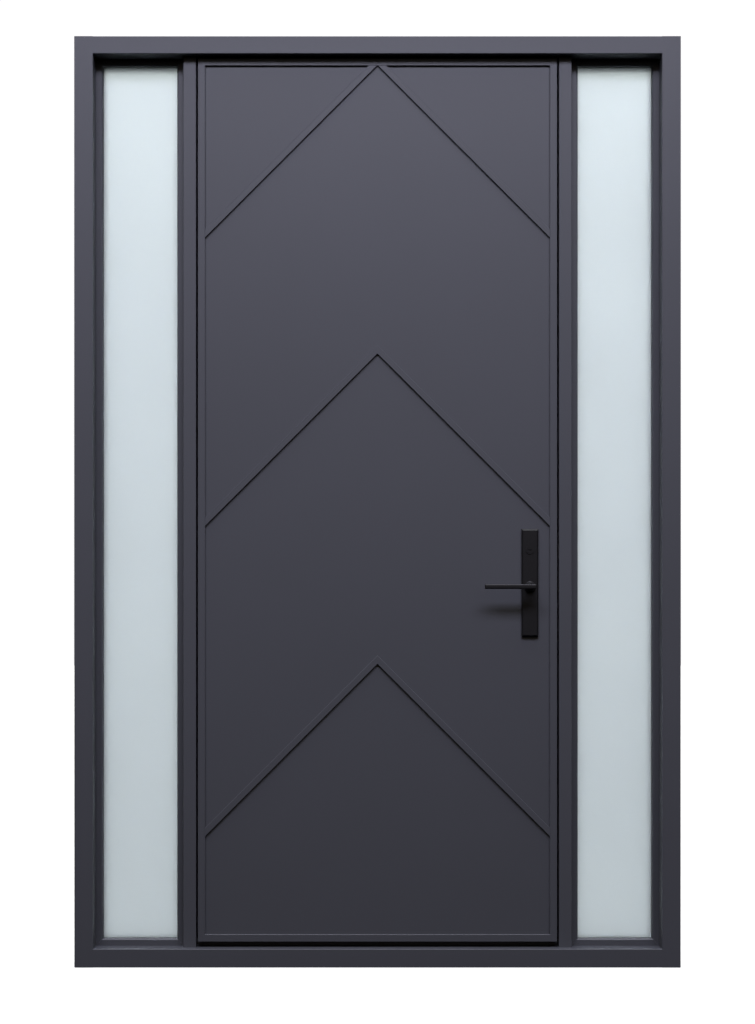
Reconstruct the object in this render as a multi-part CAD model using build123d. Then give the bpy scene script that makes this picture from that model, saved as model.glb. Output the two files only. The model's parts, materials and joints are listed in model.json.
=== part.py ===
from build123d import *
import os

os.makedirs("parts", exist_ok=True)

# Entrance door unit in steel: one inward opening leaf between two fixed glazed sidelights.
# The outside faces -Y, up is +Z, and the origin is the middle of the sill's underside.

# Outer frame
frame_width = 1588.0
frame_height = 2438.0
frame_depth = 102.0
jamb_width = 49.0
head_height = 45.5
sill_height = 48.5
frame_wall = 3.0
frame_bend_radius = 1.5

# Mullions, which carry the leaf and divide it from the sidelights
door_opening_width = 955.0
mullion_face_width = 33.5
front_recess = 26.0
mullion_wall = 2.5
mullion_bend_radius = 1.5

# Stops that the leaf closes against, and their weather seals
stop_lap = 15.0
threshold_stop_height = 10.0
threshold_stop_thickness = 6.0
seal_thickness = 3.0
seal_width = 8.0
seal_inset = 2.5

# Leaf
leaf_gap = 5.0
leaf_sill_gap = 15.0
leaf_bottom_lap = 10.0
leaf_flange_thickness = 14.0
lock_stile_width = 110.0
hinge_stile_width = 60.0
rail_height = 60.0
leaf_wall = 2.0
skin_thickness = 2.0

# Raised bars on both faces of the leaf
bar_rise = 6.0
border_bar_width = 19.0
chevron_bar_width = 16.0
bar_edge_chamfer = 0.8
top_chevron_overshoot = 1.0
middle_chevron_plate_clearance = 38.5
bottom_chevron_rise = 745.5

# Sidelight glazing
bead_width = 18.5
bead_chamfer = 3.0
outer_bead_depth = 16.0
inner_bead_depth = 14.0
pane_thickness = 6.0
spacer_depth = 8.0
spacer_width = 8.0
pane_edge_clearance = 4.0
spacer_edge_inset = 3.0
mitre_gap = 0.3

# Hinges
hinge_count = 3
hinge_barrel_radius = 9.0
hinge_pin_radius = 5.0
hinge_pin_clearance = 0.06
hinge_standoff = 5.0
hinge_knuckle_height = 38.0
hinge_knuckle_gap = 0.5
hinge_tab_thickness = 4.0
hinge_end_inset = 250.0
hinge_cap_height = 4.0

# Lever handles and lock
handle_backset = 71.5
handle_z = 997.0
plate_width = 44.0
plate_height = 283.0
plate_thickness = 10.0
plate_below_axis = 131.0
plate_chamfer = 4.0
journal_radius = 9.0
journal_clearance = 0.06
collar_radius = 15.0
collar_length = 3.0
neck_taper_length = 14.0
neck_radius = 8.5
lever_projection = 40.0
lever_height = 12.5
lever_thickness = 12.0
lever_reach = 121.0
lever_tail = 14.0
lever_edge_radius = 3.0
lever_end_chamfer = 3.5
spindle_size = 8.0
spindle_insertion = 30.0
spindle_play = 6.5
cylinder_rise = 97.0
cylinder_radius = 11.0
cylinder_proud = 1.5
keyway_length = 9.0
keyway_height = 2.0
keyway_depth = 4.0
turn_base_radius = 13.0
turn_base_height = 5.0
turn_grip_length = 26.0
turn_grip_width = 7.0
turn_grip_height = 18.0
faceplate_width = 22.0
faceplate_height = 260.0
faceplate_thickness = 3.0
faceplate_setback = 4.0
bolt_clearance = 0.3
latch_width = 13.0
latch_height = 22.0
latch_slope = 3.0
dead_bolt_height = 34.0
bolt_length = 24.0
strike_height = 290.0
strike_window_width = 17.0
strike_window_margin = 4.0

# Depth stations, measured along +Y from the frame's front face
front_y = -frame_depth / 2
back_y = frame_depth / 2
leaf_front_y = front_y + front_recess
outer_skin_y = leaf_front_y + bar_rise
frame_front_y = outer_skin_y + skin_thickness
inner_skin_y = back_y - bar_rise
frame_back_y = inner_skin_y - skin_thickness
flange_front_y = frame_back_y - leaf_flange_thickness
stop_back_y = flange_front_y - leaf_gap - seal_thickness
lock_mid_y = frame_front_y + faceplate_setback + faceplate_width / 2
glass_back_y = back_y - inner_bead_depth
inner_pane_y = glass_back_y - pane_thickness
glass_front_y = inner_pane_y - spacer_depth - pane_thickness
outer_bead_y = glass_front_y - outer_bead_depth

# Heights and half widths that several pieces share
half_width = frame_width / 2
jamb_inner_x = half_width - jamb_width
head_bottom_z = frame_height - head_height
sill_top_z = sill_height
door_half = door_opening_width / 2
mullion_outer_x = door_half + mullion_face_width
rebate_x = door_half + stop_lap
rebate_top_z = head_bottom_z + stop_lap
leaf_half = door_half - leaf_gap
leaf_top_z = head_bottom_z - leaf_gap
leaf_bottom_z = sill_top_z + leaf_sill_gap
flange_half = rebate_x - leaf_gap
flange_top_z = rebate_top_z - leaf_gap
flange_bottom_z = leaf_bottom_z - leaf_bottom_lap
handle_x = leaf_half - handle_backset
cylinder_z = handle_z + cylinder_rise
plate_bottom_z = handle_z - plate_below_axis
plate_top_z = plate_bottom_z + plate_height


def block(x0, x1, y0, y1, z0, z1):
    """A box between two corners."""
    centre = Pos((x0 + x1) / 2, (y0 + y1) / 2, (z0 + z1) / 2)
    return centre * Box(x1 - x0, y1 - y0, z1 - z0)


def upright(points, z0, z1):
    """An outline in plan, carried up from z0 to z1."""
    face = make_face(Polyline(*points, close=True))
    return extrude(Pos(0, 0, z0) * face, amount=z1 - z0)


def facing(points, y0, y1):
    """An outline seen from the front, as x and z, carried from y0 back to y1."""
    plane = Plane(origin=(0, y1, 0), x_dir=(1, 0, 0), z_dir=(0, -1, 0))
    return extrude(plane * make_face(Polyline(*points, close=True)), amount=y1 - y0)


def corners(x0, x1, z0, z1):
    """The four corners of a rectangle."""
    return [(x0, z0), (x1, z0), (x1, z1), (x0, z1)]


def rod(radius, x, z, y0, y1):
    """A round bar that runs front to back."""
    plane = Plane(origin=(x, y1, z), x_dir=(1, 0, 0), z_dir=(0, -1, 0))
    return extrude(plane * Circle(radius), amount=y1 - y0)


def tube_plan(x0, x1, z0, z1):
    """An upright rectangular tube as deep as the frame, with bent corners."""
    width = x1 - x0
    outer = RectangleRounded(width, frame_depth, frame_bend_radius)
    inner = Rectangle(width - 2 * frame_wall, frame_depth - 2 * frame_wall)
    section = Pos((x0 + x1) / 2, 0, z0) * (outer - inner)
    return extrude(section, amount=z1 - z0)


def tube_level(z0, z1):
    """A level rectangular tube between the jambs, with bent corners."""
    height = z1 - z0
    plane = Plane(origin=(-jamb_inner_x, 0, (z0 + z1) / 2), x_dir=(0, 1, 0), z_dir=(1, 0, 0))
    outer = extrude(plane * RectangleRounded(frame_depth, height, frame_bend_radius), amount=2 * jamb_inner_x)
    hollow = Rectangle(frame_depth - 2 * frame_wall, height - 2 * frame_wall)
    core = extrude(plane * hollow, amount=2 * jamb_inner_x)
    return outer, core


def mirrored(shape):
    """The same piece on the other side of the unit."""
    return mirror(shape, about=Plane.YZ)


def weld_fill(z0, z1):
    """Weld ground flush in the jamb's two inner bends, where the sill or the head butts against it."""
    front = block(jamb_inner_x, jamb_inner_x + frame_wall, front_y, front_y + frame_wall, z0, z1)
    back = block(jamb_inner_x, jamb_inner_x + frame_wall, back_y - frame_wall, back_y, z0, z1)
    return front + back


# Outer frame members
right_jamb = tube_plan(jamb_inner_x, half_width, 0, frame_height)
right_jamb = right_jamb + weld_fill(0, sill_height) + weld_fill(head_bottom_z, frame_height)
left_jamb = mirrored(right_jamb)

sill_outer, sill_core = tube_level(0, sill_height)
sill = sill_outer - sill_core

head_outer, head_core = tube_level(head_bottom_z, frame_height)
rebate = block(-rebate_x, rebate_x, stop_back_y, back_y, head_bottom_z, rebate_top_z)
rebate_wall = block(
    -rebate_x - frame_wall, rebate_x + frame_wall, stop_back_y - frame_wall, back_y,
    head_bottom_z, rebate_top_z + frame_wall,
)
head = head_outer - rebate - (head_core - rebate_wall)

# Mullions, folded to a stop in front and a narrower leg behind
mullion_outline = [
    (door_half, leaf_front_y),
    (mullion_outer_x, leaf_front_y),
    (mullion_outer_x, back_y),
    (rebate_x, back_y),
    (rebate_x, stop_back_y),
    (door_half, stop_back_y),
]
mullion_hollow = [
    (door_half + mullion_wall, leaf_front_y + mullion_wall),
    (mullion_outer_x - mullion_wall, leaf_front_y + mullion_wall),
    (mullion_outer_x - mullion_wall, back_y - mullion_wall),
    (rebate_x + mullion_wall, back_y - mullion_wall),
    (rebate_x + mullion_wall, stop_back_y - mullion_wall),
    (door_half + mullion_wall, stop_back_y - mullion_wall),
]
mullion_solid = upright(mullion_outline, sill_top_z, head_bottom_z)
bends = mullion_solid.edges().filter_by(Axis.Z).sort_by(Axis.Y)[:2]
mullion_solid = fillet(bends, mullion_bend_radius)
right_mullion_blank = mullion_solid - upright(mullion_hollow, sill_top_z, head_bottom_z)
left_mullion = mirrored(right_mullion_blank)

# The strike plate is let in flush with the right mullion's inner face
strike_y0 = lock_mid_y - faceplate_width / 2
strike_y1 = lock_mid_y + faceplate_width / 2
strike_blank = block(
    door_half, door_half + faceplate_thickness, strike_y0, strike_y1,
    handle_z - strike_height / 2, handle_z + strike_height / 2,
)
right_mullion = right_mullion_blank - strike_blank


def strike_window(mid_z, height):
    """The hole in the strike plate that a bolt would enter."""
    return block(
        door_half, door_half + faceplate_thickness,
        lock_mid_y - strike_window_width / 2, lock_mid_y + strike_window_width / 2,
        mid_z - height / 2 - strike_window_margin, mid_z + height / 2 + strike_window_margin,
    )


strike_plate = strike_blank - strike_window(handle_z, latch_height) - strike_window(cylinder_z, dead_bolt_height)


def bead_ring(side_y, other_y, fold_y):
    """Four mitred bars round one sidelight, with the corner at fold_y sloped back."""
    outline = corners(mullion_outer_x, jamb_inner_x, sill_top_z, head_bottom_z)
    opening = corners(
        mullion_outer_x + bead_width, jamb_inner_x - bead_width,
        sill_top_z + bead_width, head_bottom_z - bead_width,
    )
    ring = facing(outline, side_y, other_y) - facing(opening, side_y, other_y)
    face = ring.faces().filter_by(Axis.Y).filter_by(lambda f: abs(f.center().Y - fold_y) < 0.01)[0]
    ring = chamfer(face.inner_wires()[0].edges(), bead_chamfer)
    saw = Box(4 * bead_width, 2 * frame_depth, mitre_gap)
    for x, z, turn in [
        (mullion_outer_x, sill_top_z, -45), (jamb_inner_x, sill_top_z, 45),
        (mullion_outer_x, head_bottom_z, 45), (jamb_inner_x, head_bottom_z, -45),
    ]:
        ring = ring - Pos(x, 0, z) * Rot(0, turn, 0) * saw
    return ring


# Glazing beads, panes and spacers of the right sidelight; the left one mirrors them
right_outer_beads = bead_ring(outer_bead_y, glass_front_y, outer_bead_y)
right_inner_beads = bead_ring(glass_back_y, back_y, back_y)
pane_x0 = mullion_outer_x + pane_edge_clearance
pane_x1 = jamb_inner_x - pane_edge_clearance
pane_z0 = sill_top_z + pane_edge_clearance
pane_z1 = head_bottom_z - pane_edge_clearance
right_outer_pane = block(pane_x0, pane_x1, glass_front_y, glass_front_y + pane_thickness, pane_z0, pane_z1)
right_inner_pane = block(pane_x0, pane_x1, inner_pane_y, glass_back_y, pane_z0, pane_z1)
spacer_out = spacer_edge_inset
spacer_in = spacer_edge_inset + spacer_width
right_spacer = facing(
    corners(pane_x0 + spacer_out, pane_x1 - spacer_out, pane_z0 + spacer_out, pane_z1 - spacer_out),
    glass_front_y + pane_thickness, inner_pane_y,
) - facing(
    corners(pane_x0 + spacer_in, pane_x1 - spacer_in, pane_z0 + spacer_in, pane_z1 - spacer_in),
    glass_front_y + pane_thickness, inner_pane_y,
)

# Threshold stop across the door opening, welded on the sill
threshold_stop = block(
    -door_half, door_half, stop_back_y - threshold_stop_thickness, stop_back_y,
    sill_top_z, sill_top_z + threshold_stop_height,
)

# Weather seals on the back of the stops
seal_y1 = stop_back_y + seal_thickness
side_seal = block(
    door_half + seal_inset, door_half + seal_inset + seal_width, stop_back_y, seal_y1,
    sill_top_z + seal_inset, head_bottom_z - seal_inset,
)
head_seal = block(
    -rebate_x + seal_inset, rebate_x - seal_inset, stop_back_y, seal_y1,
    head_bottom_z + seal_inset, head_bottom_z + seal_inset + seal_width,
)
threshold_seal = block(
    -door_half + seal_inset, door_half - seal_inset, stop_back_y, seal_y1,
    sill_top_z + 1, sill_top_z + threshold_stop_height - 1,
)
frame_seals = Compound(children=[side_seal, mirrored(side_seal), head_seal, threshold_seal])


def rebated_stile(inner_x):
    """A stile of the leaf in plan, with the rear flange that laps behind the stop."""
    outline = [
        (inner_x, frame_front_y), (leaf_half, frame_front_y), (leaf_half, flange_front_y),
        (flange_half, flange_front_y), (flange_half, frame_back_y), (inner_x, frame_back_y),
    ]
    hollow = [
        (inner_x + leaf_wall, frame_front_y + leaf_wall), (leaf_half - leaf_wall, frame_front_y + leaf_wall),
        (leaf_half - leaf_wall, flange_front_y + leaf_wall),
        (flange_half - leaf_wall, flange_front_y + leaf_wall),
        (flange_half - leaf_wall, frame_back_y - leaf_wall), (inner_x + leaf_wall, frame_back_y - leaf_wall),
    ]
    body = upright(outline, leaf_bottom_z, leaf_top_z) - upright(hollow, leaf_bottom_z, leaf_top_z)
    return body

# Leaf frame: two stiles with a rail between them at top and bottom
lock_stile_inner = leaf_half - lock_stile_width
hinge_stile_inner = leaf_half - hinge_stile_width
leaf_hinge_stile = mirrored(rebated_stile(hinge_stile_inner))

# The lock's faceplate is let in flush with the leaf's edge, and both bolts lie drawn back in it
faceplate_blank = block(
    leaf_half - faceplate_thickness, leaf_half,
    lock_mid_y - faceplate_width / 2, lock_mid_y + faceplate_width / 2,
    handle_z - faceplate_height / 2, handle_z + faceplate_height / 2,
)


def lock_bolt(mid_z, height, spare):
    """A bolt that ends flush with the faceplate; spare widens it into the hole that it slides in."""
    half = latch_width / 2 + spare
    return block(
        leaf_half - bolt_length, leaf_half, lock_mid_y - half, lock_mid_y + half,
        mid_z - height / 2 - spare, mid_z + height / 2 + spare,
    )


latch_bolt = lock_bolt(handle_z, latch_height, 0)
nose_edge = latch_bolt.edges().filter_by(Axis.Z).sort_by(Axis.X)[-2:].sort_by(Axis.Y)[-1]
latch_bolt = chamfer(nose_edge, latch_slope)
dead_bolt = lock_bolt(cylinder_z, dead_bolt_height, 0)
lock_faceplate = faceplate_blank - lock_bolt(handle_z, latch_height, bolt_clearance)
lock_faceplate = lock_faceplate - lock_bolt(cylinder_z, dead_bolt_height, bolt_clearance)

spindle_way = rod(spindle_size / 2 + spindle_play, handle_x, handle_z, outer_skin_y, back_y)
leaf_lock_stile = rebated_stile(lock_stile_inner) - faceplate_blank - spindle_way


def rail(z0, z1, flange_z0, flange_z1):
    """A rail of the leaf between its stiles, with the rear flange above or below."""
    front = block(-hinge_stile_inner, lock_stile_inner, frame_front_y, frame_back_y, z0, z1)
    flange = block(-hinge_stile_inner, lock_stile_inner, flange_front_y, frame_back_y, flange_z0, flange_z1)
    hollow = block(
        -hinge_stile_inner, lock_stile_inner, frame_front_y + leaf_wall, frame_back_y - leaf_wall,
        z0 + leaf_wall, z1 - leaf_wall,
    )
    return front + flange - hollow


leaf_top_rail = rail(leaf_top_z - rail_height, leaf_top_z, leaf_top_z, flange_top_z)
leaf_bottom_rail = rail(leaf_bottom_z, leaf_bottom_z + rail_height, flange_bottom_z, leaf_bottom_z)

# Sheet skins on both faces of the leaf
outer_skin = block(-leaf_half, leaf_half, outer_skin_y, frame_front_y, leaf_bottom_z, leaf_top_z)
outer_skin = outer_skin - spindle_way
inner_skin = block(-flange_half, flange_half, frame_back_y, inner_skin_y, flange_bottom_z, flange_top_z)
inner_skin = inner_skin - spindle_way


def border(half, z0, z1, y0, y1, face_y):
    """Four mitred flat bars round one face of the leaf, as left, right, top and bottom."""
    w = border_bar_width
    left = [(-half, z0), (-half + w, z0 + w), (-half + w, z1 - w), (-half, z1)]
    right = [(half, z0), (half, z1), (half - w, z1 - w), (half - w, z0 + w)]
    top = [(-half, z1), (-half + w, z1 - w), (half - w, z1 - w), (half, z1)]
    bottom = [(-half, z0), (half, z0), (half - w, z0 + w), (-half + w, z0 + w)]
    bars = []
    for outline in (left, right, top, bottom):
        bars.append(long_edges_eased(facing(outline, y0, y1), face_y))
    return bars


def long_edges_eased(bar, face_y):
    """The same bar with the long edges of its show face broken."""
    on_face = bar.edges().filter_by(lambda e: abs(e.center().Y - face_y) < 0.01)
    longest = max(e.length for e in on_face)
    long_edges = [e for e in on_face if e.length > longest / 2]
    return chamfer(long_edges, bar_edge_chamfer)


def chevrons(inside_half, z0, z1, y0, y1, face_y):
    """Flat bars at 45 degrees that meet at the middle and end on the border, from the top down."""
    rise = chevron_bar_width * 2 ** 0.5
    result = []
    for apex in chevron_apexes:
        outline = [
            (0, apex), (inside_half, apex - inside_half), (inside_half, apex - inside_half + rise),
            (0, apex + rise), (-inside_half, apex - inside_half + rise), (-inside_half, apex - inside_half),
        ]
        field = facing(corners(-inside_half, inside_half, z0, z1), y0, y1)
        result.append(slope_edges_eased(facing(outline, y0, y1) & field, face_y))
    return result


def slope_edges_eased(bar, face_y):
    """The same bar or pair of bars with the sloping edges of the show face broken."""
    bar = Compound(children=list(bar.solids()))
    on_face = bar.edges().filter_by(lambda e: abs(e.center().Y - face_y) < 0.01)
    sloping = [e for e in on_face if abs(e.tangent_at(0.5).X) > 0.1 and abs(e.tangent_at(0.5).Z) > 0.1]
    return chamfer(sloping, bar_edge_chamfer)


# Heights of the chevrons' lower points, the same on both faces
top_apex_z = leaf_top_z - border_bar_width + top_chevron_overshoot
middle_apex_z = plate_top_z + handle_x + plate_width / 2 + middle_chevron_plate_clearance
chevron_apexes = [top_apex_z, middle_apex_z, sill_top_z + bottom_chevron_rise]

# Raised bars outside
outer_bars = border(leaf_half, leaf_bottom_z, leaf_top_z, leaf_front_y, outer_skin_y, leaf_front_y)
outer_inside_half = leaf_half - border_bar_width
outer_inside_z0 = leaf_bottom_z + border_bar_width
outer_inside_z1 = leaf_top_z - border_bar_width
outer_chevrons = chevrons(
    outer_inside_half, outer_inside_z0, outer_inside_z1, leaf_front_y, outer_skin_y, leaf_front_y,
)

# Raised bars inside, in the same pattern; the border stands out to the edge of the flange
inner_bars = border(flange_half, flange_bottom_z, flange_top_z, inner_skin_y, back_y, back_y)
inner_inside_half = flange_half - border_bar_width
inner_inside_z0 = flange_bottom_z + border_bar_width
inner_inside_z1 = flange_top_z - border_bar_width
inner_chevrons = chevrons(
    inner_inside_half, inner_inside_z0, inner_inside_z1, inner_skin_y, back_y, back_y,
)

# Barrel hinges on the inside at the left, each a pinned frame half and a bored leaf half
hinge_x = -(rebate_x - leaf_gap / 2)
hinge_y = back_y + hinge_standoff + hinge_barrel_radius
hinge_span = 3 * hinge_knuckle_height + 2 * hinge_knuckle_gap
hinge_low_z = flange_bottom_z + hinge_end_inset
hinge_high_z = flange_top_z - hinge_end_inset
hinge_pitch = (hinge_high_z - hinge_low_z) / (hinge_count - 1)


def knuckle(z0, radius):
    """One length of a hinge barrel on the hinge axis."""
    return Pos(hinge_x, hinge_y, z0 + hinge_knuckle_height / 2) * Cylinder(radius, hinge_knuckle_height)


def frame_knuckle(z0):
    """A knuckle with its web and tab, welded to the mullion's rear leg."""
    z1 = z0 + hinge_knuckle_height
    web = block(hinge_x - hinge_barrel_radius, -rebate_x, back_y, hinge_y, z0, z1)
    tab = block(-mullion_outer_x + mullion_wall, -rebate_x, back_y, back_y + hinge_tab_thickness, z0, z1)
    return knuckle(z0, hinge_barrel_radius) + web + tab


def frame_hinge_half(mid_z):
    """Upper and lower knuckle on one pin, with a cap at each end."""
    low = mid_z - hinge_span / 2
    high = mid_z + hinge_span / 2
    pin = Pos(hinge_x, hinge_y, mid_z) * Cylinder(hinge_pin_radius, hinge_span)
    cap = Cylinder(hinge_pin_radius + 2, hinge_cap_height)
    top_cap = Pos(hinge_x, hinge_y, high + hinge_cap_height / 2) * cap
    low_cap = Pos(hinge_x, hinge_y, low - hinge_cap_height / 2) * cap
    return frame_knuckle(low) + frame_knuckle(high - hinge_knuckle_height) + pin + top_cap + low_cap


def leaf_hinge_half(mid_z):
    """The middle knuckle, bored for the pin, welded to the leaf's border bar."""
    z0 = mid_z - hinge_knuckle_height / 2
    z1 = mid_z + hinge_knuckle_height / 2
    web = block(-flange_half, hinge_x + hinge_barrel_radius, back_y, hinge_y, z0, z1)
    tab = block(-flange_half, -inner_inside_half, back_y, back_y + hinge_tab_thickness, z0, z1)
    bore = knuckle(z0, hinge_pin_radius + hinge_pin_clearance)
    return knuckle(z0, hinge_barrel_radius) + web + tab - bore


hinge_heights = [hinge_low_z + i * hinge_pitch for i in range(hinge_count)]
frame_hinge_halves = Compound(children=[frame_hinge_half(z) for z in hinge_heights])
leaf_hinge_halves = Compound(children=[leaf_hinge_half(z) for z in hinge_heights])

# Handle plates, one on each skin, bored for the lever's journal and the key cylinder


def handle_plate(seat_y, out):
    """A long plate on a skin; out is -1 on the outside and 1 on the inside."""
    y0, y1 = sorted((seat_y, seat_y + out * plate_thickness))
    outline = corners(
        handle_x - plate_width / 2, handle_x + plate_width / 2,
        plate_bottom_z, plate_top_z,
    )
    plate = facing(outline, y0, y1)
    show_y = seat_y + out * plate_thickness
    rim = plate.edges().filter_by(lambda e: abs(e.center().Y - show_y) < 0.01)
    plate = chamfer(rim, plate_chamfer)
    plate = plate - rod(journal_radius + journal_clearance, handle_x, handle_z, y0, y1)
    return plate - rod(cylinder_radius, handle_x, cylinder_z, y0, y1)


outer_handle_plate = handle_plate(outer_skin_y, -1)
inner_handle_plate = handle_plate(inner_skin_y, 1)


def lever(seat_y, out):
    """A lever with a round journal, a collar and a tapering neck; out as for the plates."""
    face_y = seat_y + out * plate_thickness
    collar_y = face_y + out * collar_length
    taper_y = collar_y + out * neck_taper_length
    arm_y = face_y + out * (lever_projection - lever_thickness / 2)
    far_y = arm_y + out * lever_thickness
    arm = block(
        handle_x - lever_reach, handle_x + lever_tail, min(arm_y, far_y), max(arm_y, far_y),
        handle_z - lever_height / 2, handle_z + lever_height / 2,
    )
    far_edges = arm.edges().filter_by(Axis.Z).filter_by(lambda e: abs(e.center().Y - far_y) < 0.01)
    arm = chamfer(far_edges, lever_end_chamfer)
    arm = fillet(arm.edges().filter_by(Axis.X), lever_edge_radius)
    journal = rod(journal_radius, handle_x, handle_z, min(seat_y, face_y), max(seat_y, face_y))
    collar = rod(collar_radius, handle_x, handle_z, min(face_y, collar_y), max(face_y, collar_y))
    taper = Rot(-90 * out, 0, 0) * Cone(collar_radius, neck_radius, neck_taper_length)
    cone = Pos(handle_x, (collar_y + taper_y) / 2, handle_z) * taper
    neck = rod(neck_radius, handle_x, handle_z, min(taper_y, arm_y), max(taper_y, arm_y))
    socket_y = seat_y + out * spindle_insertion
    half = spindle_size / 2
    socket = block(
        handle_x - half, handle_x + half, min(seat_y, socket_y), max(seat_y, socket_y),
        handle_z - half, handle_z + half,
    )
    return journal + collar + cone + neck + arm - socket


outer_lever = lever(outer_skin_y, -1)
inner_lever = lever(inner_skin_y, 1)
spindle_half = spindle_size / 2
handle_spindle = block(
    handle_x - spindle_half, handle_x + spindle_half,
    outer_skin_y - spindle_insertion, inner_skin_y + spindle_insertion,
    handle_z - spindle_half, handle_z + spindle_half,
)

# Key cylinder outside and thumb turn inside
cylinder_face_y = outer_skin_y - plate_thickness - cylinder_proud
key_cylinder = rod(cylinder_radius, handle_x, cylinder_z, cylinder_face_y, outer_skin_y)
key_cylinder = key_cylinder - block(
    handle_x - keyway_length / 2, handle_x + keyway_length / 2,
    cylinder_face_y, cylinder_face_y + keyway_depth,
    cylinder_z - keyway_height / 2, cylinder_z + keyway_height / 2,
)
turn_seat_y = inner_skin_y + plate_thickness
turn_face_y = turn_seat_y + turn_base_height
turn_body = rod(cylinder_radius, handle_x, cylinder_z, inner_skin_y, turn_seat_y)
turn_base = rod(turn_base_radius, handle_x, cylinder_z, turn_seat_y, turn_face_y)
turn_grip = block(
    handle_x - turn_grip_width / 2, handle_x + turn_grip_width / 2,
    turn_face_y, turn_face_y + turn_grip_height,
    cylinder_z - turn_grip_length / 2, cylinder_z + turn_grip_length / 2,
)
turn_grip = fillet(turn_grip.edges().filter_by(Axis.Y), turn_grip_width / 2 - 0.5)
thumb_turn = turn_body + turn_base + turn_grip

# Write one file for each piece
pieces = {
    "left_jamb": left_jamb,
    "right_jamb": right_jamb,
    "head": head,
    "sill": sill,
    "left_mullion": left_mullion,
    "right_mullion": right_mullion,
    "left_outer_beads": mirrored(right_outer_beads),
    "right_outer_beads": right_outer_beads,
    "left_inner_beads": mirrored(right_inner_beads),
    "right_inner_beads": right_inner_beads,
    "left_outer_pane": mirrored(right_outer_pane),
    "right_outer_pane": right_outer_pane,
    "left_inner_pane": mirrored(right_inner_pane),
    "right_inner_pane": right_inner_pane,
    "glass_spacers": Compound(children=[right_spacer, mirrored(right_spacer)]),
    "threshold_stop": threshold_stop,
    "weather_seals": frame_seals,
    "strike_plate": strike_plate,
    "hinge_frame_halves": frame_hinge_halves,
    "leaf_hinge_stile": leaf_hinge_stile,
    "leaf_lock_stile": leaf_lock_stile,
    "leaf_top_rail": leaf_top_rail,
    "leaf_bottom_rail": leaf_bottom_rail,
    "outer_skin": outer_skin,
    "inner_skin": inner_skin,
    "outer_hinge_side_bar": outer_bars[0],
    "outer_lock_side_bar": outer_bars[1],
    "outer_top_bar": outer_bars[2],
    "outer_bottom_bar": outer_bars[3],
    "outer_top_chevron": outer_chevrons[0],
    "outer_middle_chevron": outer_chevrons[1],
    "outer_bottom_chevron": outer_chevrons[2],
    "inner_side_bars": Compound(children=[inner_bars[0], inner_bars[1]]),
    "inner_cross_bars": Compound(children=[inner_bars[2], inner_bars[3]]),
    "inner_chevrons": Compound(children=inner_chevrons),
    "hinge_leaf_halves": leaf_hinge_halves,
    "outer_handle_plate": outer_handle_plate,
    "inner_handle_plate": inner_handle_plate,
    "lock_faceplate": lock_faceplate,
    "lock_bolts": Compound(children=[latch_bolt, dead_bolt]),
    "key_cylinder": key_cylinder,
    "thumb_turn": thumb_turn,
    "outer_lever": outer_lever,
    "inner_lever": inner_lever,
    "handle_spindle": handle_spindle,
}
for node, shape in pieces.items():
    export_step(shape, f"parts/{node}.step")
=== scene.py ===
import json

import bmesh
import bpy
import numpy as np
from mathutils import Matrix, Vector


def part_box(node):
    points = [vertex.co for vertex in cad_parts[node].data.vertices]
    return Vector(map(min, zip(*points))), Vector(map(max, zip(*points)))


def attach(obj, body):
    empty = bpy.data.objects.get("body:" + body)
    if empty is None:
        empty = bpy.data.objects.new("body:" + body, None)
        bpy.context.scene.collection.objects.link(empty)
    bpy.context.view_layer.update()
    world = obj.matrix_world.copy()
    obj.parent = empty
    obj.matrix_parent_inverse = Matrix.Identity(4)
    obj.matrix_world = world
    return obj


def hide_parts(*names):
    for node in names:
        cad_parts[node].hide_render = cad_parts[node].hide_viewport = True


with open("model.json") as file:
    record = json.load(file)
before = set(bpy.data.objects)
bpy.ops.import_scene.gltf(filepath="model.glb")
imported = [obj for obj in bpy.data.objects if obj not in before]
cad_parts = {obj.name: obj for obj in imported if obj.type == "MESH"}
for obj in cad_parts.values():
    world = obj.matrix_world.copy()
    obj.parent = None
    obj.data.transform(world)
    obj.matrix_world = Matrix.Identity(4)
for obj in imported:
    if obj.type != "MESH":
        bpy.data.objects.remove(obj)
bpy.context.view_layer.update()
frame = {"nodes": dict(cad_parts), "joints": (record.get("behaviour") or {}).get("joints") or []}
nodes = frame["nodes"]
joint_at = {joint["name"]: np.array(joint["pos_m"]) for joint in frame["joints"]}
MM = 0.001

# Steel frame: jambs, head and sill are tubes, butted and welded, with the joints ground flush.
# The mullions are folded sections that stand on the sill, where a flat bar is the threshold stop.
# All of it is powder coated in one satin charcoal.


def linear(hex_colour):
    """An sRGB hex colour as the linear red, green, blue and alpha that a shader takes."""
    srgb = np.array([int(hex_colour[i:i + 2], 16) for i in (1, 3, 5)]) / 255
    rgb = np.where(srgb <= 0.04045, srgb / 12.92, ((srgb + 0.055) / 1.055) ** 2.4)
    return (*rgb.tolist(), 1.0)


def add(tree, kind, links=None, **values):
    """Adds a node: values set its inputs by name, or else its properties, and links feed inputs."""
    node = tree.nodes.new(kind)
    for name, value in values.items():
        socket = name.replace("_", " ")
        if socket in node.inputs:
            node.inputs[socket].default_value = value
        else:
            setattr(node, name, value)
    for socket, output in (links or {}).items():
        tree.links.new(output, node.inputs[socket])
    return node


def blank_material(name):
    """A node material with nothing in it yet, its tree and the place of a point on the piece."""
    material = bpy.data.materials.new(name)
    material.use_nodes = True
    tree = material.node_tree
    tree.nodes.clear()
    return material, tree, add(tree, "ShaderNodeTexCoord").outputs["Object"]


def coat(material, *names):
    """Gives CAD nodes this one material."""
    for name in names:
        mesh = nodes[name].data
        mesh.materials.clear()
        mesh.materials.append(material)


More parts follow.
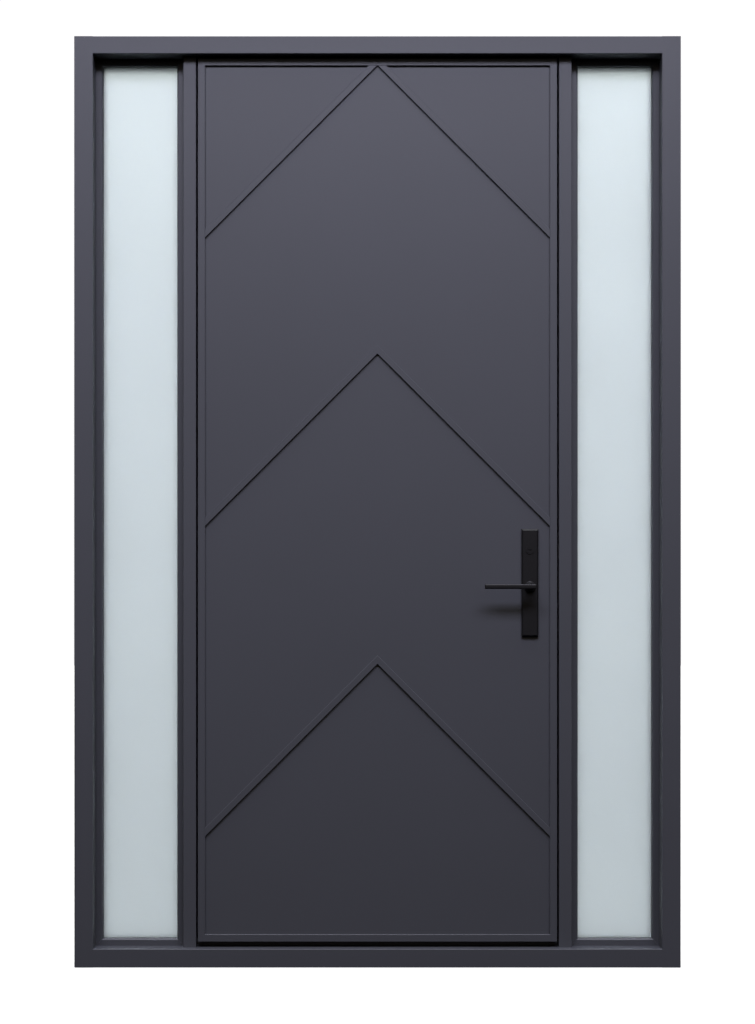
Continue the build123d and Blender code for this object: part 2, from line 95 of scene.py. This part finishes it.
def pebbled_coat(name, tones, roughness, pebble_mm, pebble_height_mm, ior=1.5):
    """A baked coat: two close tones drift together, and pebbles vary its height and gloss."""
    drift_per_metre = 1.8
    gloss_spread = 0.05
    material, tree, place = blank_material(name)
    drift = add(
        tree, "ShaderNodeTexNoise", {"Vector": place},
        Scale=drift_per_metre, Detail=3.0, Roughness=0.55,
    )
    tone = add(
        tree, "ShaderNodeMixRGB", {"Fac": drift.outputs["Fac"]},
        Color1=linear(tones[0]), Color2=linear(tones[1]),
    )
    pebble = add(
        tree, "ShaderNodeTexNoise", {"Vector": place}, Scale=1 / (pebble_mm * MM), Detail=2.0,
    )
    gloss = add(
        tree, "ShaderNodeMapRange", {"Value": pebble.outputs["Fac"]},
        To_Min=roughness - gloss_spread, To_Max=roughness + gloss_spread,
    )
    skin = add(
        tree, "ShaderNodeBump", {"Height": pebble.outputs["Fac"]},
        Strength=0.5, Distance=pebble_height_mm * MM,
    )
    shader = add(
        tree, "ShaderNodeBsdfPrincipled",
        {"Base Color": tone.outputs["Color"], "Roughness": gloss.outputs["Result"],
         "Normal": skin.outputs["Normal"]},
        IOR=ior,
    )
    add(tree, "ShaderNodeOutputMaterial", {"Surface": shader.outputs["BSDF"]})
    return material


# Satin powder coat gives the eye an even dark grey with a soft sheen and no mirror image. The
# pebbling of the real coat is about 1.5 mm across; it is drawn at 4 mm so that it shows.
charcoal_coat = pebbled_coat(
    "satin_charcoal_powder_coat", ("#3A3C41", "#3E4046"),
    roughness=0.5, pebble_mm=4.0, pebble_height_mm=0.03,
)
coat(
    charcoal_coat,
    "left_jamb", "right_jamb", "head", "sill", "left_mullion", "right_mullion", "threshold_stop",
)

# Weather seals: black EPDM extrusions stuck on the back of the stops, where the leaf's flange meets
# them. Each has a flat foot with a bulb on it, and is cut square at its ends.


def quads(rows, columns, rows_close=False, columns_close=False):
    """Faces of a grid of points: (i, j), (i + 1, j), (i + 1, j + 1) and (i, j + 1) make one."""
    i, j = np.meshgrid(
        np.arange(rows if rows_close else rows - 1),
        np.arange(columns if columns_close else columns - 1),
        indexing="ij",
    )
    below, beside = (i + 1) % rows, (j + 1) % columns
    corners = [i * columns + j, below * columns + j, below * columns + beside, i * columns + beside]
    return np.stack(corners, axis=-1).reshape(-1, 4).tolist()


def capped(rows, columns):
    """Faces of a grid whose columns close to a tube, with a flat cap on its first and last row."""
    last = (rows - 1) * columns
    return quads(rows, columns, columns_close=True) + [
        list(range(columns)), list(range(last, last + columns)),
    ]


sharp_edge_degrees = 35


def piece(name, shells, material, body, replaced=None):
    """One mesh of closed shells, each of points in metres and faces, with its normals outwards."""
    points, faces = np.empty((0, 3)), []
    for shell_points, shell_faces in shells:
        faces += [[corner + len(points) for corner in face] for face in shell_faces]
        points = np.concatenate([points, shell_points.reshape(-1, 3)])
    mesh = bpy.data.meshes.new(name)
    mesh.from_pydata(points.tolist(), [], faces)
    shell_mesh = bmesh.new()
    shell_mesh.from_mesh(mesh)
    bmesh.ops.recalc_face_normals(shell_mesh, faces=shell_mesh.faces)
    shell_mesh.to_mesh(mesh)
    shell_mesh.free()
    mesh.shade_smooth()
    mesh.set_sharp_from_angle(angle=np.radians(sharp_edge_degrees))
    mesh.materials.append(material)
    obj = bpy.data.objects.new(name, mesh)
    bpy.context.scene.collection.objects.link(obj)
    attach(obj, body)
    if replaced:
        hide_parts(replaced)


def strip(start, end, across, out, section):
    """A section of points a, b carried straight: start or end, + across * a + out * b."""
    ends = np.stack([start, end])[:, None, :]
    a, b = section[:, 0, None], section[:, 1, None]
    return ends + np.asarray(across) * a + np.asarray(out) * b, capped(2, len(section))


def plain_coat(name, colour, roughness, grain_mm, grain_height_mm, metallic=0.0):
    """A moulded or blasted surface: one colour, with a fine grain in its height and its gloss."""
    gloss_spread = 0.06
    material, tree, place = blank_material(name)
    grain = add(
        tree, "ShaderNodeTexNoise", {"Vector": place}, Scale=1 / (grain_mm * MM), Detail=3.0,
    )
    gloss = add(
        tree, "ShaderNodeMapRange", {"Value": grain.outputs["Fac"]},
        To_Min=roughness - gloss_spread, To_Max=roughness + gloss_spread,
    )
    skin = add(
        tree, "ShaderNodeBump", {"Height": grain.outputs["Fac"]},
        Strength=0.4, Distance=grain_height_mm * MM,
    )
    shader = add(
        tree, "ShaderNodeBsdfPrincipled",
        {"Roughness": gloss.outputs["Result"], "Normal": skin.outputs["Normal"]},
        Base_Color=linear(colour), Metallic=metallic,
    )
    add(tree, "ShaderNodeOutputMaterial", {"Surface": shader.outputs["BSDF"]})
    return material


# EPDM gives the eye a dull, even black line
epdm_rubber = plain_coat(
    "black_epdm_rubber", "#171717", roughness=0.6, grain_mm=2.0, grain_height_mm=0.04,
)

seal_foot_mm = 1.1
bulb_radius_mm = 2.6
bulb_height_mm = 4.4
seal_low, seal_high = (np.array(corner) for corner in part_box("weather_seals"))
stop_low, stop_high = (np.array(corner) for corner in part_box("threshold_stop"))
head_low = np.array(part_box("head")[0])
seal_half_mm = 4.0
seal_inset_mm = 2.5
bulb_turn = np.linspace(np.pi, 0, 13)
seal_section = MM * np.concatenate([
    [(-seal_half_mm, 0), (-seal_half_mm, seal_foot_mm)],
    np.stack([
        bulb_radius_mm * np.cos(bulb_turn),
        seal_foot_mm + (bulb_height_mm - seal_foot_mm) * np.sin(bulb_turn),
    ], axis=1),
    [(seal_half_mm, seal_foot_mm), (seal_half_mm, 0)],
])
seal_y = seal_low[1]
door_half = stop_high[0]
side_x = door_half + (seal_inset_mm + seal_half_mm) * MM
side_z = (stop_low[2] + seal_inset_mm * MM, head_low[2] - seal_inset_mm * MM)
head_z = seal_high[2] - seal_half_mm * MM
foot_z = (stop_low[2] + stop_high[2]) / 2
back = (0, 1, 0)
seals = []
for side in (-1, 1):
    foot, top = ((side * side_x, seal_y, z) for z in side_z)
    seals.append(strip(foot, top, (side, 0, 0), back, seal_section))
for half, z in ((seal_high[0], head_z), (door_half - seal_inset_mm * MM, foot_z)):
    seals.append(strip((-half, seal_y, z), (half, seal_y, z), (0, 0, 1), back, seal_section))
piece("bulb_seals", seals, epdm_rubber, "frame", "weather_seals")

# Glazing beads: square steel bars with one sloped corner, mitred round each pane and coated as the
# frame is. The inner ones hold the glass in, with countersunk screws that are left bare.
coat(
    charcoal_coat,
    "left_outer_beads", "right_outer_beads", "left_inner_beads", "right_inner_beads",
)


def screw(centre, right, up, radius, crown, slot_half, slot_reach, slot_depth):
    """A countersunk head on polar rings: crown * (1 - r^2), less slot_depth in its recess.

    The recess is where the smaller of |x|, |y| is under slot_half and the larger under slot_reach,
    with sides that slope. Out is right x up, and the rim goes down into the piece it holds.
    """
    right, up = np.array(right, float), np.array(up, float)
    out = np.cross(right, up)
    rings = np.linspace(0.08, 1.0, 12)[:, None]
    turn = np.linspace(0, 2 * np.pi, 32, endpoint=False)[None, :]
    x, y = radius * rings * np.cos(turn), radius * rings * np.sin(turn)
    slope = 0.2 * MM
    near = np.clip((slot_half - np.minimum(abs(x), abs(y))) / slope, 0, 1)
    within = np.clip((slot_reach - np.maximum(abs(x), abs(y))) / slope, 0, 1)
    height = crown * (1 - rings ** 2) - slot_depth * near * within
    face = centre + x[..., None] * right + y[..., None] * up + height[..., None] * out
    rim_depth = 2 * slot_depth
    rim = face[-1:] - rim_depth * out
    return np.concatenate([face, rim]), capped(len(rings) + 1, turn.size)


def brushed_steel(name, colour, roughness, grain_mm, grain_length_mm):
    """Steel drawn through abrasive: fine lines along z, many times longer than they are wide."""
    gloss_spread = 0.1
    material, tree, place = blank_material(name)
    along = add(
        tree, "ShaderNodeMapping", {"Vector": place},
        Scale=(1 / (grain_mm * MM), 1 / (grain_mm * MM), 1 / (grain_length_mm * MM)),
    )
    lines = add(
        tree, "ShaderNodeTexNoise", {"Vector": along.outputs["Vector"]}, Scale=1.0, Detail=3.0,
    )
    gloss = add(
        tree, "ShaderNodeMapRange", {"Value": lines.outputs["Fac"]},
        To_Min=roughness - gloss_spread, To_Max=roughness + gloss_spread,
    )
    skin = add(
        tree, "ShaderNodeBump", {"Height": lines.outputs["Fac"]}, Strength=0.3, Distance=0.02 * MM,
    )
    shader = add(
        tree, "ShaderNodeBsdfPrincipled",
        {"Roughness": gloss.outputs["Result"], "Normal": skin.outputs["Normal"]},
        Base_Color=linear(colour), Metallic=1.0,
    )
    add(tree, "ShaderNodeOutputMaterial", {"Surface": shader.outputs["BSDF"]})
    return material


# Brushed stainless gives the eye a light grey with a blurred gleam and fine upright lines
stainless = brushed_steel(
    "brushed_stainless_steel", "#B4B3B0", roughness=0.32, grain_mm=0.6, grain_length_mm=30.0,
)
small_screw = dict(
    radius=3.4 * MM, crown=0.5 * MM, slot_half=0.5 * MM, slot_reach=2.0 * MM, slot_depth=1.2 * MM,
)
bead_width_mm = 18.5
bead_screws_up = 8
bead_screw_inset_mm = 100.0
bead_screws = []
for name in ("left_inner_beads", "right_inner_beads"):
    low, high = (np.array(corner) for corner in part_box(name))
    inset = bead_width_mm / 2 * MM
    rows = np.linspace(
        low[2] + bead_screw_inset_mm * MM, high[2] - bead_screw_inset_mm * MM, bead_screws_up,
    )
    places = [(x, z) for x in (low[0] + inset, high[0] - inset) for z in rows]
    places += [((low[0] + high[0]) / 2, z) for z in (low[2] + inset, high[2] - inset)]
    bead_screws += [screw((x, high[1], z), (-1, 0, 0), (0, 0, 1), **small_screw) for x, z in places]
piece("bead_screws", bead_screws, stainless, "frame")

# Sidelight glass: sealed units of two toughened panes, 20 mm thick with their grey aluminium
# spacer. The outer pane is acid etched and the inner one is clear.


def float_glass(name, tints, transmission, roughness, frost_mm, frost_height_mm):
    """Float glass: faintly green blue, with a body that lets light through and a frosted face."""
    material, tree, place = blank_material(name)
    cloud = add(tree, "ShaderNodeTexNoise", {"Vector": place}, Scale=3.0, Detail=2.0)
    body = add(
        tree, "ShaderNodeMixRGB", {"Fac": cloud.outputs["Fac"]},
        Color1=linear(tints[0]), Color2=linear(tints[1]),
    )
    grain = add(
        tree, "ShaderNodeTexNoise", {"Vector": place}, Scale=1 / (frost_mm * MM), Detail=2.0,
    )
    frost = add(
        tree, "ShaderNodeBump", {"Height": grain.outputs["Fac"]},
        Strength=0.3, Distance=frost_height_mm * MM,
    )
    shader = add(
        tree, "ShaderNodeBsdfPrincipled",
        {"Base Color": body.outputs["Color"], "Normal": frost.outputs["Normal"]},
        Roughness=roughness, IOR=1.5, Transmission_Weight=transmission,
    )
    add(tree, "ShaderNodeOutputMaterial", {"Surface": shader.outputs["BSDF"]})
    return material


# Etched glass gives the eye a milky white, as the light from behind scatters in it. The frosting
# itself is a tenth of a millimetre fine; it is drawn at 3 mm so that it shows.
etched_glass = float_glass(
    "acid_etched_glass", ("#E4EBED", "#E9F0F2"),
    transmission=0.88, roughness=0.85, frost_mm=3.0, frost_height_mm=0.02,
)
# Clear glass gives the eye little but its reflections, bent a little by the pane's slow waves
clear_glass = float_glass(
    "clear_float_glass", ("#F0F5F6", "#F3F8F8"),
    transmission=1.0, roughness=0.03, frost_mm=300.0, frost_height_mm=0.02,
)
coat(etched_glass, "left_outer_pane", "right_outer_pane")
coat(clear_glass, "left_inner_pane", "right_inner_pane")
# Anodised aluminium gives the eye a grey band with a soft gleam between the panes
spacer_metal = plain_coat(
    "grey_anodised_aluminium", "#77787A",
    roughness=0.4, grain_mm=1.5, grain_height_mm=0.02, metallic=1.0,
)
coat(spacer_metal, "glass_spacers")

# Glazing gaskets: black EPDM pressed between the glass and the beads on both faces.
# Only a narrow quarter round lip shows, with its corners mitred.


def mitred_ring(low, high, section, out):
    """A section carried round a rectangle seen from the front, with mitres.

    A section point (a, b) lies a inside the rectangle's edge and b out from y = low[1]. At a corner
    that is corner + a * (1 or -1, 0, 1 or -1), so the four straight runs meet at 45 degrees.
    """
    corners = np.array([(low[0], low[2]), (high[0], low[2]), (high[0], high[2]), (low[0], high[2])])
    inwards = np.array([(1, 1), (-1, 1), (-1, -1), (1, -1)])
    a, b = section[:, 0], section[:, 1]
    x = corners[:, 0, None] + inwards[:, 0, None] * a
    z = corners[:, 1, None] + inwards[:, 1, None] * a
    y = np.broadcast_to(low[1] + out * b, x.shape)
    return np.stack([x, y, z], axis=-1), quads(4, len(section), rows_close=True, columns_close=True)


lip_mm = 0.7
lip_root_mm = 0.5
lip_turn = np.linspace(0, np.pi / 2, 6)
lip_section = MM * np.concatenate([
    [(-lip_root_mm, 0)],
    lip_mm * np.stack([np.cos(lip_turn), np.sin(lip_turn)], axis=1),
    [(-lip_root_mm, lip_mm)],
])
gaskets = {"outer_gaskets": [], "inner_gaskets": []}
for side in ("left", "right"):
    for face, out in (("outer", -1), ("inner", 1)):
        low, high = (np.array(corner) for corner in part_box(f"{side}_{face}_beads"))
        glass_low, glass_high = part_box(f"{side}_{face}_pane")
        opening_low, opening_high = low + bead_width_mm * MM, high - bead_width_mm * MM
        opening_low[1] = glass_low[1] if out < 0 else glass_high[1]
        gaskets[f"{face}_gaskets"].append(mitred_ring(opening_low, opening_high, lip_section, out))
for name, rings in gaskets.items():
    piece(name, rings, epdm_rubber, "frame")

# Leaf: steel stiles and rails with a sheet skin on each face, welded, ground and coated in one
# piece. Square edged flat bars are welded on both skins as a border and three chevrons.
coat(
    charcoal_coat,
    "leaf_hinge_stile", "leaf_lock_stile", "leaf_top_rail", "leaf_bottom_rail",
    "outer_skin", "inner_skin",
    "outer_hinge_side_bar", "outer_lock_side_bar", "outer_top_bar", "outer_bottom_bar",
    "outer_top_chevron", "outer_middle_chevron", "outer_bottom_chevron",
    "inner_side_bars", "inner_cross_bars", "inner_chevrons",
)

# Hinges: three barrel hinges of turned steel on 10 mm pins, coated with the door, and bronze
# washers. Their tabs are welded to the mullion and the leaf, and the weld runs keep their ripples.
coat(charcoal_coat, "hinge_frame_halves", "hinge_leaf_halves")

hinge_inset_mm = 250.0
knuckle_mm = 38.0
knuckle_gap_mm = 0.5
hinge_count = 3
leaf_low, leaf_high = (np.array(corner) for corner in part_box("inner_skin"))
hinge_heights = np.linspace(
    leaf_low[2] + hinge_inset_mm * MM, leaf_high[2] - hinge_inset_mm * MM, hinge_count,
)
hinge_axis = joint_at["leaf_hinge"]


def turned(centre, out, profile, columns=40):
    """A profile of distances d and radii r swept round: centre + d * out + r * (cos, sin)."""
    out = np.array(out, float)
    right = np.cross(out, (0, 0, 1)) if abs(out[2]) < 0.5 else np.array([1.0, 0, 0])
    up = np.cross(right, out)
    turn = np.linspace(0, 2 * np.pi, columns, endpoint=False)
    circle = np.cos(turn)[:, None] * right + np.sin(turn)[:, None] * up
    distance, radius = np.asarray(profile, float).T
    points = centre + distance[:, None, None] * out + radius[:, None, None] * circle
    return points, len(distance), columns


washer_mm = 0.4
washer_radius_mm = 8.7
washer_bore_mm = 5.2
washers = []
for z in hinge_heights:
    for step in (-1, 1):
        middle = hinge_axis + (0, 0, z + step * (knuckle_mm + knuckle_gap_mm) / 2 * MM)
        half = washer_mm / 2 * MM
        section = [
            (-half, washer_bore_mm * MM), (-half, washer_radius_mm * MM),
            (half, washer_radius_mm * MM), (half, washer_bore_mm * MM),
        ]
        points, rows, columns = turned(middle, (0, 0, 1), section)
        washers.append((points, quads(rows, columns, rows_close=True, columns_close=True)))
# Oiled bronze gives the eye a thin brown ring with a soft gleam
bronze = plain_coat(
    "oiled_bronze", "#8A6A3E", roughness=0.35, grain_mm=1.0, grain_height_mm=0.01, metallic=1.0,
)
piece("hinge_washers", washers, bronze, "frame")


def weld(start, end, foot_a, foot_b, leg):
    """A rippled fillet weld: a quarter round between two feet, from start at t = 0 to end at t = 1.

    Its radius is leg * (1 + ripple * sin(2 pi t length / pitch)) * sqrt(1.02 - (2 t - 1)^8), where
    the root thins it out at its ends.
    """
    start, end = np.array(start), np.array(end)
    length = np.linalg.norm(end - start)
    ripple, ripple_pitch = 0.1, 2.2 * MM
    t = np.linspace(0, 1, 49)[:, None]
    wave = 1 + ripple * np.sin(2 * np.pi * t * length / ripple_pitch)
    radius = leg * wave * np.sqrt(1.02 - (2 * t - 1) ** 8)
    turn = np.linspace(0, np.pi / 2, 7)[None, :]
    centre = (start + (end - start) * t)[:, None, :]
    arc = (radius * np.cos(turn))[..., None] * foot_a + (radius * np.sin(turn))[..., None] * foot_b
    points = np.concatenate([centre, centre + arc], axis=1)
    return points, capped(len(t), points.shape[1])


weld_leg = 2.5 * MM
leaf_gap = 5.0 * MM
frame_tab_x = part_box("hinge_frame_halves")[0][0]
leaf_tab_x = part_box("hinge_leaf_halves")[1][0]
seat_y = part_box("left_mullion")[1][1]
rebate_x = hinge_axis[0] - leaf_gap / 2
leaf_edge_x = hinge_axis[0] + leaf_gap / 2
frame_welds, leaf_welds = [], []
for z in hinge_heights:
    pitch = (knuckle_mm + knuckle_gap_mm) * MM
    for middle, runs, x0, x1 in (
        (z - pitch, frame_welds, frame_tab_x, rebate_x),
        (z + pitch, frame_welds, frame_tab_x, rebate_x),
        (z, leaf_welds, leaf_edge_x, leaf_tab_x),
    ):
        for way in (-1, 1):
            edge_z = middle + way * knuckle_mm / 2 * MM
            runs.append(weld(
                (x0, seat_y, edge_z), (x1, seat_y, edge_z),
                np.array([0, 1, 0]), np.array([0, 0, way]), weld_leg,
            ))
piece("frame_hinge_welds", frame_welds, charcoal_coat, "frame")
piece("leaf_hinge_welds", leaf_welds, charcoal_coat, "leaf")

# Handle plates: long steel plates with sloped edges, stove enamelled matt black like the levers.
# The outer one has no fixings; the inner one's two screws go through the leaf into it.

# Matt enamel gives the eye a near black whose highlights are broad and dim. Its grain is about
# 0.5 mm; it is drawn at 2 mm so that it shows.
matt_black = pebbled_coat(
    "matt_black_enamel", ("#0F0F11", "#121214"),
    roughness=0.42, pebble_mm=2.0, pebble_height_mm=0.02, ior=1.4,
)
coat(matt_black, "outer_handle_plate", "inner_handle_plate")

plate_low, plate_high = (np.array(corner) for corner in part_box("inner_handle_plate"))
plate_mid_x = (plate_low[0] + plate_high[0]) / 2
large_screw = dict(
    radius=5.0 * MM, crown=0.7 * MM, slot_half=0.7 * MM, slot_reach=3.0 * MM, slot_depth=1.6 * MM,
)
plate_screw_inset = 16.0 * MM
plate_screws = [
    screw((plate_mid_x, plate_high[1], z), (-1, 0, 0), (0, 0, 1), **large_screw)
    for z in (plate_low[2] + plate_screw_inset, plate_high[2] - plate_screw_inset)
]
piece("handle_plate_screws", plate_screws, matt_black, "leaf")

# Levers: one casting each, a round neck that narrows from its collar and a slim arm with soft
# corners. Both are on one square spindle, and a socket screw under the inner neck holds them on it.
collar_radius = 15.0 * MM
collar_length = 3.0 * MM
collar_edge = 0.8 * MM
neck_taper = 14.0 * MM
neck_radius = 8.5 * MM
journal_radius = 8.8 * MM
running_gap = 0.2 * MM
plate_thickness = 10.0 * MM
arm_height = 12.5 * MM
arm_thickness = 12.0 * MM
arm_end = 3.0 * MM
arm_end_power = 2.2
arm_squareness = 5.0
arm_tail = 14.0 * MM
lever_axis = joint_at["lever_turn"]


def neck(seat, out, reach):
    """The turned part of a lever: journal, collar with quarter round edges, taper and neck.

    The taper's radius goes from the collar's to the neck's as (1 + cos(pi t)) / 2.
    """
    face = plate_thickness + running_gap
    start = face + collar_length
    edge = np.linspace(0, np.pi / 2, 5)
    rise, run = collar_edge * (1 - np.cos(edge)), collar_edge * (1 - np.sin(edge))
    t = np.linspace(0, 1, 14)
    narrowing = collar_radius - collar_edge - neck_radius
    taper_radius = neck_radius + narrowing * (1 + np.cos(np.pi * t)) / 2
    profile = np.concatenate([
        [(running_gap, journal_radius), (face, journal_radius)],
        np.stack([face + rise, collar_radius - run], axis=1),
        np.stack([start - run, collar_radius - rise], axis=1),
        np.stack([start + neck_taper * t, taper_radius], axis=1),
        [(reach, neck_radius)],
    ])
    points, rows, columns = turned(
        (lever_axis[0], seat, lever_axis[2]), (0, out, 0), profile, columns=56,
    )
    return points, capped(rows, columns)


def arm(x0, x1, middle_y):
    """A bar whose section is a superellipse, |y / b|^n + |z / h|^n = 1, with rounded ends.

    Over arm_end at each end, s goes from 0 to 1 and all sides of the section come in by
    arm_end * (1 - (1 - s^p)^(1/p)), where p is arm_end_power.
    """
    x = np.concatenate([
        x0 + arm_end * (1 - np.cos(np.linspace(0, np.pi / 2, 9)[:-1])),
        np.linspace(x0 + arm_end, x1 - arm_end, 24),
        x1 - arm_end * (1 - np.cos(np.linspace(np.pi / 2, 0, 9)[1:])),
    ])
    past = np.clip(np.maximum(x0 + arm_end - x, x - x1 + arm_end) / arm_end, 0, 0.999)
    size = (1 - past ** arm_end_power) ** (1 / arm_end_power)
    turn = np.linspace(0, 2 * np.pi, 48, endpoint=False)
    power = 2 / arm_squareness
    y = arm_thickness / 2 * np.sign(np.cos(turn)) * abs(np.cos(turn)) ** power
    z = arm_height / 2 * np.sign(np.sin(turn)) * abs(np.sin(turn)) ** power
    trim = arm_end * (1 - size)[:, None]
    points = np.stack([
        np.broadcast_to(x[:, None], (len(x), len(turn))),
        middle_y + y - np.sign(y) * np.minimum(trim, abs(y)),
        lever_axis[2] + z - np.sign(z) * np.minimum(trim, abs(z)),
    ], axis=-1)
    return points, capped(len(x), len(turn))


for name, skin, out in (("outer_lever", "outer_skin", -1), ("inner_lever", "inner_skin", 1)):
    low, high = (np.array(corner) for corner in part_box(name))
    skin_low, skin_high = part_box(skin)
    skin_y = skin_low[1] if out < 0 else skin_high[1]
    far_y = low[1] if out < 0 else high[1]
    middle_y = far_y - out * arm_thickness / 2
    reach = abs(middle_y - skin_y)
    tail_x = lever_axis[0] + arm_tail
    piece(
        f"{name}_casting", [neck(skin_y, out, reach), arm(low[0], tail_x, middle_y)],
        matt_black, "handle", name,
    )

grub_from_skin = 24.0 * MM
grub_sink = 0.3 * MM
grub_z = lever_axis[2] - neck_radius + grub_sink
grub = screw(
    (lever_axis[0], leaf_high[1] + grub_from_skin, grub_z), (1, 0, 0), (0, 1, 0),
    radius=2.2 * MM, crown=0.0, slot_half=1.2 * MM, slot_reach=1.2 * MM, slot_depth=0.6 * MM,
)
piece("lever_grub_screw", [grub], stainless, "handle")

# Key cylinder and thumb turn: the cylinder's face is enamelled black, with a narrow raised line
# round its plug. The thumb turn inside is cast in zinc and enamelled to match the plates.
coat(matt_black, "key_cylinder", "thumb_turn")

plug_radius = 7.4 * MM
plug_line = 0.5 * MM
plug_line_sink = 0.4 * MM
plug_line_rise = 0.15 * MM
cylinder_low, cylinder_high = (np.array(corner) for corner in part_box("key_cylinder"))
cylinder_mid = (cylinder_low + cylinder_high) / 2
plug_section = [
    (-plug_line_sink, plug_radius - plug_line), (plug_line_rise, plug_radius - plug_line),
    (plug_line_rise, plug_radius), (-plug_line_sink, plug_radius),
]
points, rows, columns = turned(
    (cylinder_mid[0], cylinder_low[1], cylinder_mid[2]), (0, -1, 0), plug_section,
)
piece(
    "cylinder_plug_line", [(points, quads(rows, columns, rows_close=True, columns_close=True))],
    matt_black, "leaf",
)

# Lock faceplate, bolts and strike plate: stainless steel strip let in flush with the edges they
# serve. Cross headed screws hold both strips, and the bolts are drawn back flush.
coat(stainless, "strike_plate", "lock_faceplate", "lock_bolts", "handle_spindle")

strip_screw_inset = 11.0 * MM
for name, way, body in (("lock_faceplate", 1, "leaf"), ("strike_plate", -1, "frame")):
    low, high = (np.array(corner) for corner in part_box(name))
    face_x = high[0] if way > 0 else low[0]
    middle_y = (low[1] + high[1]) / 2
    strip_screws = [
        screw((face_x, middle_y, z), (0, way, 0), (0, 0, 1), **small_screw)
        for z in (low[2] + strip_screw_inset, high[2] - strip_screw_inset)
    ]
    piece(f"{name}_screws", strip_screws, stainless, body)

# Studio: a pale floor, a broad softbox above in front, a weak one behind, and a bright surround.
# None of it is part of the door.
floor_half = 30.0
floor_glow = 0.93
floor_grey = 0.5
floor_mesh = bpy.data.meshes.new("studio_floor")
floor_mesh.from_pydata(
    [(-floor_half, -floor_half, -MM), (floor_half, -floor_half, -MM),
     (floor_half, floor_half, -MM), (-floor_half, floor_half, -MM)],
    [], [(0, 1, 2, 3)],
)
floor = bpy.data.objects.new("studio_floor", floor_mesh)
scene = bpy.context.scene
scene.collection.objects.link(floor)
floor_white, tree, _ = blank_material("white_paper_floor")
shine = add(tree, "ShaderNodeEmission", Color=(1, 1, 1, 1), Strength=floor_glow)
matt = add(tree, "ShaderNodeBsdfDiffuse", Color=(floor_grey, floor_grey, floor_grey, 1))
both = add(tree, "ShaderNodeAddShader", {0: shine.outputs[0], 1: matt.outputs[0]})
add(tree, "ShaderNodeOutputMaterial", {"Surface": both.outputs[0]})
floor_mesh.materials.append(floor_white)
floor.visible_diffuse = False
floor.visible_glossy = False
floor.visible_transmission = False

# The surround is white to the camera. What it sheds on the door is a weak warm light that stops at
# the horizon, so that undersides stay dark, a patch straight above that picks out bevels, and a
# white light from behind for the glass, which grows with height.
world = bpy.data.worlds.new("studio")
scene.world = world
world.use_nodes = True
tree = world.node_tree
tree.nodes.clear()
direction = add(tree, "ShaderNodeTexCoord").outputs["Generated"]
split = add(tree, "ShaderNodeSeparateXYZ", {"Vector": direction})


def ramp(axis, start, end, low, high):
    """Goes from low to high as the direction's x, y or z goes from start to end."""
    return add(
        tree, "ShaderNodeMapRange", {"Value": split.outputs[axis]},
        From_Min=start, From_Max=end, To_Min=low, To_Max=high,
    ).outputs["Result"]


def glow(strength, colour):
    """Light of one colour from the surround."""
    light = add(tree, "ShaderNodeBackground", {"Strength": strength}, Color=(*colour, 1.0))
    return light.outputs[0]


behind = add(
    tree, "ShaderNodeMath",
    {0: ramp("Y", -0.05, 0.15, 0.0, 1.0), 1: ramp("Z", -0.5, 0.5, 0.78, 1.08)},
    operation="MULTIPLY",
).outputs["Value"]
warm = glow(ramp("Z", 0.0, 0.5, 0.0, 0.56), (1.0, 0.87, 0.72))
top = glow(ramp("Z", 0.88, 0.96, 0.0, 4.5), (0.9, 0.95, 1.0))
pale = glow(behind, (1.0, 1.0, 1.0))
front = add(tree, "ShaderNodeAddShader", {0: warm, 1: top}).outputs[0]
lit = add(tree, "ShaderNodeAddShader", {0: front, 1: pale}).outputs[0]
white = add(tree, "ShaderNodeBackground", Color=(1, 1, 1, 1), Strength=1.02).outputs[0]
seen = add(tree, "ShaderNodeLightPath").outputs["Is Camera Ray"]
choice = add(tree, "ShaderNodeMixShader", {0: seen, 1: lit, 2: white})
add(tree, "ShaderNodeOutputWorld", {"Surface": choice.outputs[0]})


softbox_spread_degrees = 120


def softbox(name, place, target, width, height, power, colour):
    """A rectangular lamp at a place, turned to face a target."""
    lamp = bpy.data.lights.new(name, "AREA")
    lamp.shape = "RECTANGLE"
    lamp.size = width
    lamp.size_y = height
    lamp.energy = power
    lamp.spread = np.radians(softbox_spread_degrees)
    lamp.color = colour
    obj = bpy.data.objects.new(name, lamp)
    scene.collection.objects.link(obj)
    obj.location = place
    obj.rotation_euler = (Vector(target) - Vector(place)).to_track_quat("-Z", "Y").to_euler()


softbox("front_softbox", (0, -2.6, 4.2), (0, -0.4, 0), 4.6, 0.9, 117, (0.8, 0.8, 1.0))
softbox("back_softbox", (0, 1.9, 3.55), (0, 0, 1.4), 4.6, 0.9, 14, (1.0, 1.0, 1.0))

# The camera stands level with the lock, straight in front, as the photograph's did
camera_data = bpy.data.cameras.new("photo_camera")
camera_data.sensor_width = 36.0
camera_data.lens = 67.17
camera_data.shift_y = 0.1006
camera = bpy.data.objects.new("photo_camera", camera_data)
camera.location = (0, -5.051, 0.923)
camera.rotation_euler = (np.pi / 2, 0, 0)
scene.collection.objects.link(camera)
scene.camera = camera
scene.view_settings.view_transform = "Standard"
